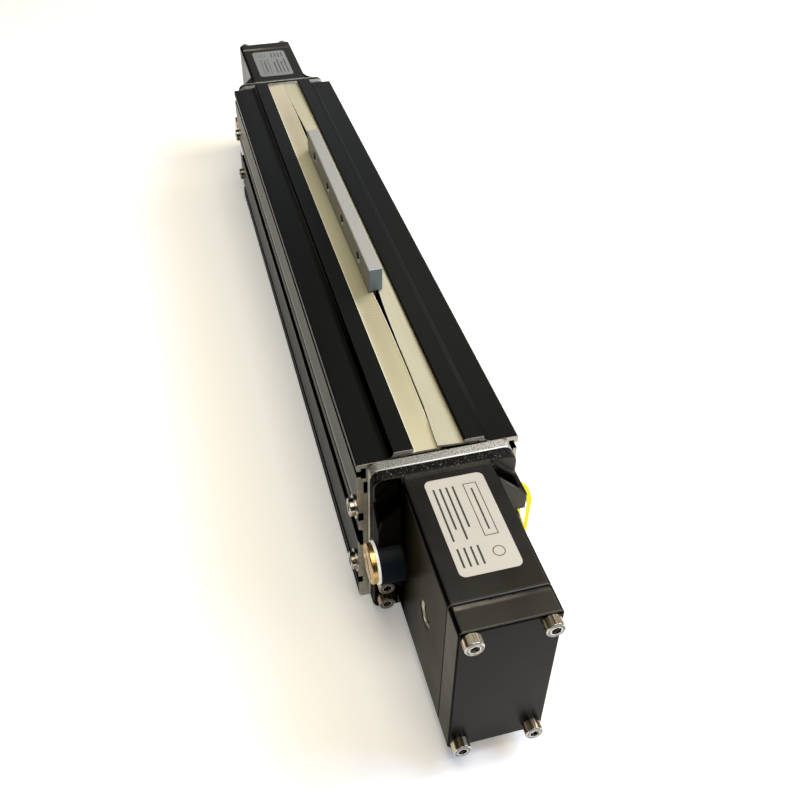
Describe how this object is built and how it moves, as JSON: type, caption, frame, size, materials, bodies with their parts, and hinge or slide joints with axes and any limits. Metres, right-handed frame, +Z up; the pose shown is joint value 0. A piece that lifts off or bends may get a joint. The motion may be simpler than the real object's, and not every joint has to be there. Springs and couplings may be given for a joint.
{
  "type": "rodless band cylinder",
  "caption": "Pneumatic rodless cylinder: black slotted barrel with cream sealing lips, a flat driver blade that travels along the slot, and narrow cast heads with air ports at both ends.",
  "frame": {"origin": "middle of the underside of the barrel, on its long centre plane", "axes": "+X along the stroke towards the near head of the picture, +Y to the right in the picture, +Z up through the slot"},
  "size_m": [0.6324, 0.0946, 0.1234],
  "materials": {
    "anodised": "black anodised extrusion, satin, cut ends bare",
    "gasket": "black sheet gasket",
    "plate": "bare cast aluminium, fine speckle",
    "casting": "die casting with black satin coat",
    "nickel": "nickel plated steel",
    "nylon": "white nylon seal ring",
    "brass": "turned brass",
    "yellow": "soft yellow polyethylene",
    "label": "pale foil sticker",
    "plug": "machined aluminium",
    "rubber": "black nitrile rubber",
    "steel": "steel",
    "lip": "cream flexible plastic strip",
    "blade": "brushed aluminium bar",
    "guide": "acetal guide",
    "magnet": "sintered magnet",
    "piston": "machined black acetal"
  },
  "bodies": {
    "cylinder": {"band_clamp_far": "plug", "band_clamp_near": "plug", "barrel": "anodised", "clamp_screw_far": "steel", "clamp_screw_near": "steel", "cover_far": "casting", "cover_gasket_far": "gasket", "cover_gasket_near": "gasket", "cover_near": "casting", "cover_screws_far": "nickel", "cover_screws_near": "nickel", "cushion_seal_far": "rubber", "cushion_seal_near": "rubber", "end_gasket_far": "gasket", "end_gasket_near": "gasket", "end_oring_far": "rubber", "end_oring_near": "rubber", "end_plate_far": "plate", "end_plate_near": "plate", "end_plug_far": "plug", "end_plug_near": "plug", "flange_screws_far": "nickel", "flange_screws_near": "nickel", "head_far": "casting", "head_near": "casting", "inner_band": "steel", "label_far": "label", "label_near": "label", "lip_left": "lip", "lip_right": "lip", "port_plug_far": "brass", "port_plug_near": "brass", "port_ring_far": "nylon", "port_ring_near": "nylon", "side_screws_far": "nickel", "side_screws_near": "nickel", "side_washers_far": "nickel", "side_washers_near": "nickel"},
    "carriage": {"blade": "blade", "magnets": "magnet", "neck_guides": "guide", "piston_bolt_far": "steel", "piston_bolt_near": "steel", "piston_bumper_far": "rubber", "piston_bumper_near": "rubber", "piston_far": "piston", "piston_near": "piston", "piston_ring_far": "guide", "piston_ring_near": "guide", "piston_seal_far": "rubber", "piston_seal_near": "rubber", "yoke": "plug", "yoke_pins": "steel"},
    "cap_near": {"port_cap_near": "yellow"},
    "cap_far": {"port_cap_far": "yellow"}
  },
  "joints": [
    {"name": "carriage_slide", "type": "slide", "parent": "cylinder", "child": "carriage", "axis": [1, 0, 0], "range_m": [-0.081, 0.069], "deforming": ["lip_left", "lip_right", "inner_band"]},
    {"name": "cap_near_pull", "type": "slide", "parent": "cylinder", "child": "cap_near", "axis": [0, 1, 0], "range_m": [0, 0.02]},
    {"name": "cap_far_pull", "type": "slide", "parent": "cylinder", "child": "cap_far", "axis": [0, 1, 0], "range_m": [0, 0.02]}
  ]
}
